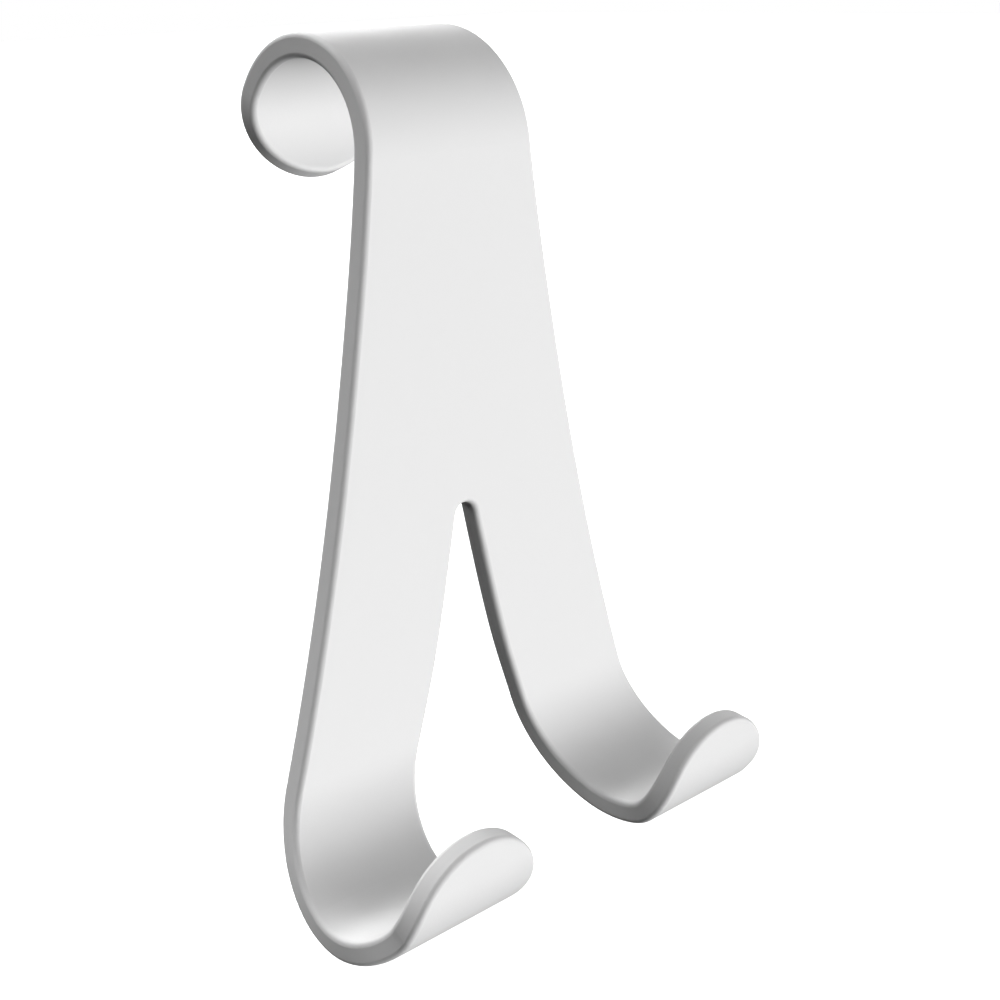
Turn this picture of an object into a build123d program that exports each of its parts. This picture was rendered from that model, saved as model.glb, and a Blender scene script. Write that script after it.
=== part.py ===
from build123d import *
import math
import os

# Radiator hook: one moulded strip with a loop over the rail and a flat stem that forks
# into two legs, each bent up into a cup with a tongue. The origin lies on the rail's axis,
# X runs along the rail, the hook faces -Y and Z is up.

# Driving sizes, in millimetres and degrees
rail_radius = 12.5
wall = 3.5
edge_round = 0.75
loop_sweep = 202.0
stem_length = 85.5
tongue_length = 5.4

# The cup starts on a wide arc and goes on round a tighter one
entry_radius = 14.7
entry_sweep = 63.5
cup_radius = 11.4
cup_sweep = 172.0

# Widths across both edges of the strip, from the loop's end down to the cups
loop_width = 26.9
stem_top_width = 30.2
stem_middle_width = 37.8
fork_width = 47.9
cup_start_width = 66.6
cup_widest_width = 76.1
cup_widest_sweep = 108.5

# At this sweep the cup has won this share of its widening from its start to its widest
cup_side_sweep = 50.0
cup_side_share = 0.85

# Each leg keeps one width through the cup, and its tongue stands a little nearer the middle
leg_width = 22.65
tongue_inset = 1.7

# The fork between the legs
fork_depth = 50.7
fork_radius = 1.9
fork_half_angle = 12.0

# What the blank and the cutting wall have over the finished outline
blank_spare = 4.0
cut_reach = 1.0
outline_points = 41

cup_side_width = cup_start_width + cup_side_share * (cup_widest_width - cup_start_width)
tip_offset = (cup_widest_width - leg_width) / 2 - tongue_inset
loop_middle = rail_radius + wall / 2
entry_middle = entry_radius + wall / 2
cup_middle = cup_radius + wall / 2
loop_end = -loop_middle * math.radians(loop_sweep)


def cup_run(sweep):
    """Run down the strip to where the cup has turned through a sweep in degrees."""
    entry = min(sweep, entry_sweep)
    return stem_length + entry_middle * math.radians(entry) + cup_middle * math.radians(sweep - entry)


entry_end = cup_run(entry_sweep)
cup_side = cup_run(cup_side_sweep)
cup_widest = cup_run(cup_widest_sweep)
cup_end = cup_run(cup_sweep)
strip_end = cup_end + tongue_length


def strip_normal(angle):
    """Direction out of the strip's front where it has turned through an angle in radians."""
    return Vector(0, -math.cos(angle), math.sin(angle))


entry_centre = Vector(0, -loop_middle - entry_middle, -stem_length)
cup_centre = entry_centre - strip_normal(math.radians(entry_sweep)) * (entry_middle - cup_middle)


def strip_frame(run):
    """Middle-line point, direction of travel and front normal at a run down the strip.

    The run is 0 level with the rail's axis, negative round the loop, and positive down the
    stem, round the cup and up the tongue.
    """
    if run < 0:
        angle = -run / loop_middle
    else:
        entry = min(max(run, stem_length), entry_end) - stem_length
        rest = min(max(run, entry_end), cup_end) - entry_end
        angle = entry / entry_middle + rest / cup_middle
    normal = strip_normal(angle)
    travel = Vector(0, -math.sin(angle), -math.cos(angle))
    if run <= stem_length:
        return normal * loop_middle + travel * max(run, 0), travel, normal
    if run <= entry_end:
        return entry_centre - normal * entry_middle, travel, normal
    point = cup_centre - normal * cup_middle + travel * max(run - cup_end, 0)
    return point, travel, normal


def blank():
    """The bent strip in side view, left wider and longer than the hook."""
    loop_spare = math.degrees(blank_spare / loop_middle)
    tongue_start, travel, _ = strip_frame(cup_end)
    tongue_stop = tongue_start + travel * (tongue_length + blank_spare)
    with BuildPart() as part:
        with BuildSketch(Plane.YZ):
            with BuildLine():
                CenterArc((0, 0), loop_middle, 180, -loop_sweep - loop_spare)
                Line((-loop_middle, 0), (-loop_middle, -stem_length))
                CenterArc((entry_centre.Y, entry_centre.Z), entry_middle, 0, -entry_sweep)
                CenterArc((cup_centre.Y, cup_centre.Z), cup_middle, -entry_sweep,
                          entry_sweep - cup_sweep)
                Line((tongue_start.Y, tongue_start.Z), (tongue_stop.Y, tongue_stop.Z))
            trace(line_width=wall)
        extrude(amount=cup_widest_width / 2 + blank_spare, both=True)
    return part.part


def full_round(centre, radius, start, stop):
    """An arc about a centre, between two directions in degrees from the X axis."""
    points = []
    for angle in (start, (start + stop) / 2, stop):
        turn = math.radians(angle)
        points.append(centre + Vector(math.cos(turn), math.sin(turn)) * radius)
    return ThreePointArc(*points)


def flat_half():
    """Right half of the outline, unrolled: X is across the strip and Y is the run."""
    end_round = loop_width / 2
    tip_round = leg_width / 2
    end_arc = full_round(Vector(0, loop_end + end_round), end_round, -90, 0)
    tip_arc = full_round(Vector(tip_offset, strip_end - tip_round), tip_round, 0, 180)
    fork_arc = full_round(Vector(0, fork_depth + fork_radius), fork_radius,
                          -fork_half_angle, -90)
    outer = Spline(end_arc @ 1, (stem_top_width / 2, 0), (stem_middle_width / 2, fork_depth / 2),
                   (fork_width / 2, fork_depth), (cup_start_width / 2, stem_length),
                   (cup_side_width / 2, cup_side), (cup_widest_width / 2, cup_widest),
                   tip_arc @ 0, tangents=[end_arc % 1, tip_arc % 0])
    inner = Spline(tip_arc @ 1, (cup_widest_width / 2 - leg_width, cup_widest),
                   (cup_side_width / 2 - leg_width, cup_side),
                   (cup_start_width / 2 - leg_width, stem_length), fork_arc @ 0,
                   tangents=[tip_arc % 1, fork_arc % 0])
    return [end_arc, outer, tip_arc, inner, fork_arc]


def on_strip(edge, lift, side):
    """A flat edge laid on the bent strip, lifted off its middle line, on side +1 or -1."""
    points, parameters = [], []
    for i in range(outline_points):
        share = i / (outline_points - 1)
        flat = edge.position_at(share)
        middle, _, normal = strip_frame(flat.Y)
        points.append(Vector(side * flat.X, 0, 0) + middle + normal * lift)
        parameters.append(share)
    return Edge.make_spline(points, parameters=parameters)


def outline_wall():
    """The cutting wall that stands square to the strip all round the outline."""
    reach = wall / 2 + cut_reach
    faces = []
    for side in (1, -1):
        for edge in flat_half():
            back, front = on_strip(edge, -reach, side), on_strip(edge, reach, side)
            faces.append(Face.make_surface_from_curves(back, front))
    return Shell(faces)


def hook():
    """The blank cut to its outline, with every edge of the outline rounded."""
    stem_point, _, _ = strip_frame(fork_depth / 2)
    pieces = blank().solid().split(outline_wall(), keep=Keep.ALL)
    body = next(piece for piece in pieces if piece.is_inside(stem_point))
    broad = [face for face in body.faces() if face.geom_type in (GeomType.PLANE, GeomType.CYLINDER)]
    sides = [face for face in body.faces() if face not in broad]
    broad_edges = ShapeList(broad).edges()
    rim = [edge for edge in ShapeList(sides).edges() if edge in broad_edges]
    return body.fillet(edge_round, rim)


os.makedirs("parts", exist_ok=True)
export_step(hook(), "parts/hook.step")
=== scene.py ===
"""Radiator hook: a white moulded strip with a loop over the rail and two cupped legs.

Every length is in metres and every angle in degrees. X runs along the rail, the hook
faces -Y and Z is up, and the origin lies on the rail's axis.
"""

from __future__ import annotations

import logging
import math
from dataclasses import dataclass, field
from enum import Enum

import bmesh
import bpy
from mathutils import Matrix, Vector


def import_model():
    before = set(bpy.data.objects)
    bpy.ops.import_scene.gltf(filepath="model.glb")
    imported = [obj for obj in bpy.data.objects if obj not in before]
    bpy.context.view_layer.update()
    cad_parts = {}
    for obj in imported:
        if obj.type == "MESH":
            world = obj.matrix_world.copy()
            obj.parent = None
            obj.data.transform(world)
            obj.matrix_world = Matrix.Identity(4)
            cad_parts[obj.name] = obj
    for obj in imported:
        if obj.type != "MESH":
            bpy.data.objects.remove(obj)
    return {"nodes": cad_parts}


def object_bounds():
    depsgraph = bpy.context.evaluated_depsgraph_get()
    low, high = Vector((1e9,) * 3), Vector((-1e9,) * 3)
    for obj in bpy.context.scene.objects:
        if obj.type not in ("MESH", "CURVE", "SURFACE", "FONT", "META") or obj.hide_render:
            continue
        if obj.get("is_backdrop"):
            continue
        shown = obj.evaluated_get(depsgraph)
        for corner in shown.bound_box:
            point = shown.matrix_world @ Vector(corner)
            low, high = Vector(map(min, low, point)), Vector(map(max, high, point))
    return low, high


log = logging.getLogger("radiator_hook")

PHOTO_WIDTH_PX = 1000
SENSOR_WIDTH_MM = 36.0
WHITE = (1.0, 1.0, 1.0, 1.0)


class View(Enum):
    """How the picture's brightness is shown."""

    PLAIN = "Standard"


class Shade(Enum):
    """Whether a light throws shadows."""

    SOFT = True
    NONE = False


def direction(azimuth: float, elevation: float) -> Vector:
    """Unit vector from the hook towards a place in the studio.

    Args:
        azimuth: turn about Z, 0 in front of the hook and 90 at its right side.
        elevation: height above the horizon.

    Returns:
        The direction, of length 1.
    """
    turn, rise = math.radians(azimuth), math.radians(elevation)
    return Vector((math.sin(turn) * math.cos(rise), -math.cos(turn) * math.cos(rise), math.sin(rise)))


def new_material(name: str) -> tuple[bpy.types.Material, bpy.types.NodeTree, bpy.types.Node]:
    """Makes a node material with one Principled shader.

    Args:
        name: the material's name.

    Returns:
        The material, its node tree and its Principled node.
    """
    material = bpy.data.materials.new(name)
    material.use_nodes = True
    tree = material.node_tree
    tree.nodes.clear()
    output = tree.nodes.new("ShaderNodeOutputMaterial")
    shader = tree.nodes.new("ShaderNodeBsdfPrincipled")
    tree.links.new(shader.outputs["BSDF"], output.inputs["Surface"])
    return material, tree, shader


@dataclass(frozen=True)
class MouldedSkin:
    """Node group for the skin of a moulding: soft clouding of its colour and gloss, and its grain."""

    name: str = "moulded_skin"
    cloud_detail: float = 3.0
    grain_detail: float = 2.0

    def build(self) -> bpy.types.NodeTree:
        """Builds the group once.

        Returns:
            The group, whose outputs are Color, Roughness and Height.
        """
        known = bpy.data.node_groups.get(self.name)
        if known:
            return known
        group = bpy.data.node_groups.new(self.name, "ShaderNodeTree")
        sockets = group.interface
        for label, kind in (("Light Color", "NodeSocketColor"), ("Dark Color", "NodeSocketColor"),
                            ("Cloud Scale", "NodeSocketFloat"), ("Gloss Low", "NodeSocketFloat"),
                            ("Gloss High", "NodeSocketFloat"), ("Grain Scale", "NodeSocketFloat")):
            sockets.new_socket(label, in_out="INPUT", socket_type=kind)
        for label, kind in (("Color", "NodeSocketColor"), ("Roughness", "NodeSocketFloat"),
                            ("Height", "NodeSocketFloat")):
            sockets.new_socket(label, in_out="OUTPUT", socket_type=kind)
        nodes, links = group.nodes, group.links
        given = nodes.new("NodeGroupInput")
        result = nodes.new("NodeGroupOutput")
        place = nodes.new("ShaderNodeTexCoord")

        cloud = nodes.new("ShaderNodeTexNoise")
        cloud.inputs["Detail"].default_value = self.cloud_detail
        links.new(place.outputs["Object"], cloud.inputs["Vector"])
        links.new(given.outputs["Cloud Scale"], cloud.inputs["Scale"])
        tint = nodes.new("ShaderNodeMix")
        tint.data_type = "RGBA"
        links.new(cloud.outputs["Fac"], tint.inputs["Factor"])
        links.new(given.outputs["Dark Color"], tint.inputs["A"])
        links.new(given.outputs["Light Color"], tint.inputs["B"])
        links.new(tint.outputs["Result"], result.inputs["Color"])

        gloss = nodes.new("ShaderNodeMapRange")
        links.new(cloud.outputs["Fac"], gloss.inputs["Value"])
        links.new(given.outputs["Gloss Low"], gloss.inputs["To Min"])
        links.new(given.outputs["Gloss High"], gloss.inputs["To Max"])
        links.new(gloss.outputs["Result"], result.inputs["Roughness"])

        grain = nodes.new("ShaderNodeTexNoise")
        grain.inputs["Detail"].default_value = self.grain_detail
        links.new(place.outputs["Object"], grain.inputs["Vector"])
        links.new(given.outputs["Grain Scale"], grain.inputs["Scale"])
        links.new(grain.outputs["Fac"], result.inputs["Height"])
        return group


@dataclass(frozen=True)
class WhitePlastic:
    """Satin white moulded plastic, with faint clouding and a fine grain."""

    name: str = "white_plastic_satin"
    light: tuple[float, float, float, float] = (0.80, 0.80, 0.80, 1.0)
    dark: tuple[float, float, float, float] = (0.785, 0.785, 0.785, 1.0)
    cloud_scale: float = 45.0
    gloss_low: float = 0.48
    gloss_high: float = 0.56
    grain_scale: float = 2600.0
    grain_height: float = 0.00002
    grain_strength: float = 0.35
    refractive_index: float = 1.49

    def build(self) -> bpy.types.Material:
        """Builds the material.

        Returns:
            The material, for the hook's own slot.
        """
        material, tree, shader = new_material(self.name)
        skin = tree.nodes.new("ShaderNodeGroup")
        skin.node_tree = MouldedSkin().build()
        skin.inputs["Light Color"].default_value = self.light
        skin.inputs["Dark Color"].default_value = self.dark
        skin.inputs["Cloud Scale"].default_value = self.cloud_scale
        skin.inputs["Gloss Low"].default_value = self.gloss_low
        skin.inputs["Gloss High"].default_value = self.gloss_high
        skin.inputs["Grain Scale"].default_value = self.grain_scale
        bump = tree.nodes.new("ShaderNodeBump")
        bump.inputs["Strength"].default_value = self.grain_strength
        bump.inputs["Distance"].default_value = self.grain_height
        tree.links.new(skin.outputs["Color"], shader.inputs["Base Color"])
        tree.links.new(skin.outputs["Roughness"], shader.inputs["Roughness"])
        tree.links.new(skin.outputs["Height"], bump.inputs["Height"])
        tree.links.new(bump.outputs["Normal"], shader.inputs["Normal"])
        shader.inputs["IOR"].default_value = self.refractive_index
        return material


@dataclass(frozen=True)
class PalePaper:
    """The studio floor's matt white paper, whose colour clouds as the moulded skin's does."""

    name: str = "pale_paper"
    light: tuple[float, float, float, float] = (0.93, 0.93, 0.93, 1.0)
    dark: tuple[float, float, float, float] = (0.91, 0.91, 0.91, 1.0)
    cloud_scale: float = 2.0
    roughness: float = 0.9
    reflection: float = 0.1
    glow: float = 1.0

    def build(self) -> bpy.types.Material:
        """Builds the material.

        Returns:
            The material, for the floor.
        """
        material, tree, shader = new_material(self.name)
        skin = tree.nodes.new("ShaderNodeGroup")
        skin.node_tree = MouldedSkin().build()
        skin.inputs["Light Color"].default_value = self.light
        skin.inputs["Dark Color"].default_value = self.dark
        skin.inputs["Cloud Scale"].default_value = self.cloud_scale
        tree.links.new(skin.outputs["Color"], shader.inputs["Base Color"])
        shader.inputs["Roughness"].default_value = self.roughness
        shader.inputs["Specular IOR Level"].default_value = self.reflection
        shader.inputs["Emission Color"].default_value = WHITE
        shader.inputs["Emission Strength"].default_value = self.glow
        return material


@dataclass
class RadiatorHook:
    """The hook itself, one moulding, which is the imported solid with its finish."""

    slot_name: str = "white_plastic"
    finish: WhitePlastic = field(default_factory=WhitePlastic)

    def dress(self, node: bpy.types.Object) -> bpy.types.Object:
        """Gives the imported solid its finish. Its faces pass no light to each other.

        Args:
            node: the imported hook.

        Returns:
            The same object.
        """
        material = self.finish.build()
        for place in node.material_slots:
            place.material = material
        node.visible_diffuse = False
        node.visible_glossy = False
        return node


@dataclass
class Floor:
    """A plain pale floor, just under the hook, which throws no light or shade up at it."""

    side: float = 6.0
    gap: float = 0.0002
    finish: PalePaper = field(default_factory=PalePaper)

    def build(self, under: float) -> bpy.types.Object:
        """Lays the floor.

        Args:
            under: height of the hook's lowest point.

        Returns:
            The floor.
        """
        mesh = bpy.data.meshes.new("floor")
        shape = bmesh.new()
        bmesh.ops.create_grid(shape, x_segments=1, y_segments=1, size=self.side / 2)
        bmesh.ops.translate(shape, verts=shape.verts, vec=(0.0, 0.0, under - self.gap))
        shape.to_mesh(mesh)
        shape.free()
        mesh.materials.append(self.finish.build())
        floor = bpy.data.objects.new("floor", mesh)
        bpy.context.scene.collection.objects.link(floor)
        floor.visible_shadow = False
        floor.visible_diffuse = False
        floor.visible_glossy = False
        floor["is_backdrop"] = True
        return floor


@dataclass(frozen=True)
class SoftLight:
    """A broad soft light far away, which reaches the hook from one side.

    Strength 1 turns a white face that looks straight at the light fully white. A light
    without shade throws no shadow, so it also reaches what the rest of the hook hides from it.
    """

    name: str
    azimuth: float
    elevation: float
    strength: float
    spread: float = 30.0
    shade: Shade = Shade.SOFT

    def place(self) -> bpy.types.Object:
        """Puts the light in the studio.

        Returns:
            The light.
        """
        lamp = bpy.data.lights.new(self.name, "SUN")
        lamp.angle = math.radians(self.spread)
        lamp.energy = self.strength * math.pi
        lamp.use_shadow = self.shade.value
        light = bpy.data.objects.new(self.name, lamp)
        away = direction(self.azimuth, self.elevation)
        light.matrix_world = Matrix.LocRotScale(away, away.to_track_quat("Z", "Y"), None)
        bpy.context.scene.collection.objects.link(light)
        return light


@dataclass
class Studio:
    """Soft light from behind, the left and the front, and fills without shade, in a white room."""

    lights: tuple[SoftLight, ...] = (
        SoftLight("back", azimuth=180.0, elevation=40.0, strength=0.42),
        SoftLight("back_left", azimuth=200.0, elevation=35.0, strength=0.26),
        SoftLight("back_high", azimuth=200.0, elevation=50.0, strength=0.21),
        SoftLight("left", azimuth=270.0, elevation=15.0, strength=0.10),
        SoftLight("front", azimuth=0.0, elevation=0.0, strength=0.05),
        SoftLight("fill_front", azimuth=-15.0, elevation=10.0, strength=0.22, shade=Shade.NONE),
        SoftLight("fill_high", azimuth=0.0, elevation=40.0, strength=0.14, shade=Shade.NONE),
        SoftLight("fill_front_right", azimuth=30.0, elevation=20.0, strength=0.12, shade=Shade.NONE),
        SoftLight("fill_low", azimuth=30.0, elevation=-35.0, strength=0.54, shade=Shade.NONE),
        SoftLight("fill_right", azimuth=60.0, elevation=-10.0, strength=0.29, shade=Shade.NONE),
        SoftLight("fill_behind", azimuth=150.0, elevation=25.0, strength=0.43, shade=Shade.NONE),
    )

    def build(self) -> None:
        """Lights the room. Its white walls are there for the camera alone."""
        world = bpy.data.worlds.new("studio")
        bpy.context.scene.world = world
        world.use_nodes = True
        background = world.node_tree.nodes["Background"]
        background.inputs["Color"].default_value = WHITE
        world.cycles_visibility.diffuse = False
        world.cycles_visibility.glossy = False
        for light in self.lights:
            light.place()
        bpy.context.scene.view_settings.view_transform = View.PLAIN.value


@dataclass
class PhotoCamera:
    """The photograph's camera, worked out from the hook's outline in the picture."""

    azimuth: float = -43.603
    elevation: float = 17.837
    roll: float = -1.578
    focal_px: float = 1670.9
    rail_px: tuple[float, float] = (378.38, 143.04)
    rail_px_per_metre: float = 6991.2
    nearest: float = 0.01

    def place(self) -> bpy.types.Object:
        """Makes the scene's camera.

        Returns:
            The camera.
        """
        middle = PHOTO_WIDTH_PX / 2
        away = direction(self.azimuth, self.elevation)
        turn = away.to_track_quat("Z", "Y").to_matrix() @ Matrix.Rotation(math.radians(self.roll), 3, "Z")
        depth = self.focal_px / self.rail_px_per_metre
        sight = Vector((
            (self.rail_px[0] - middle) / self.focal_px * depth,
            (middle - self.rail_px[1]) / self.focal_px * depth,
            -depth,
        ))
        data = bpy.data.cameras.new("camera")
        data.sensor_width = SENSOR_WIDTH_MM
        data.lens = self.focal_px / PHOTO_WIDTH_PX * SENSOR_WIDTH_MM
        data.clip_start = self.nearest
        camera = bpy.data.objects.new("camera", data)
        camera.matrix_world = Matrix.Translation(-(turn @ sight)) @ turn.to_4x4()
        bpy.context.scene.collection.objects.link(camera)
        bpy.context.scene.camera = camera
        return camera


def main() -> None:
    """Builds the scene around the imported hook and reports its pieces."""
    logging.basicConfig(level=logging.INFO, format="%(message)s")
    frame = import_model()
    cad_low, cad_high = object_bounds()

    hook = RadiatorHook().dress(frame["nodes"]["hook"])
    log.info("%s: %d faces", hook.name, len(hook.data.polygons))
    floor = Floor().build(cad_low.z)
    log.info("%s: %.1f m square", floor.name, floor.dimensions.x)
    Studio().build()
    camera = PhotoCamera().place()
    log.info("%s: %.1f mm lens", camera.name, camera.data.lens)


if __name__ == "__main__":
    main()
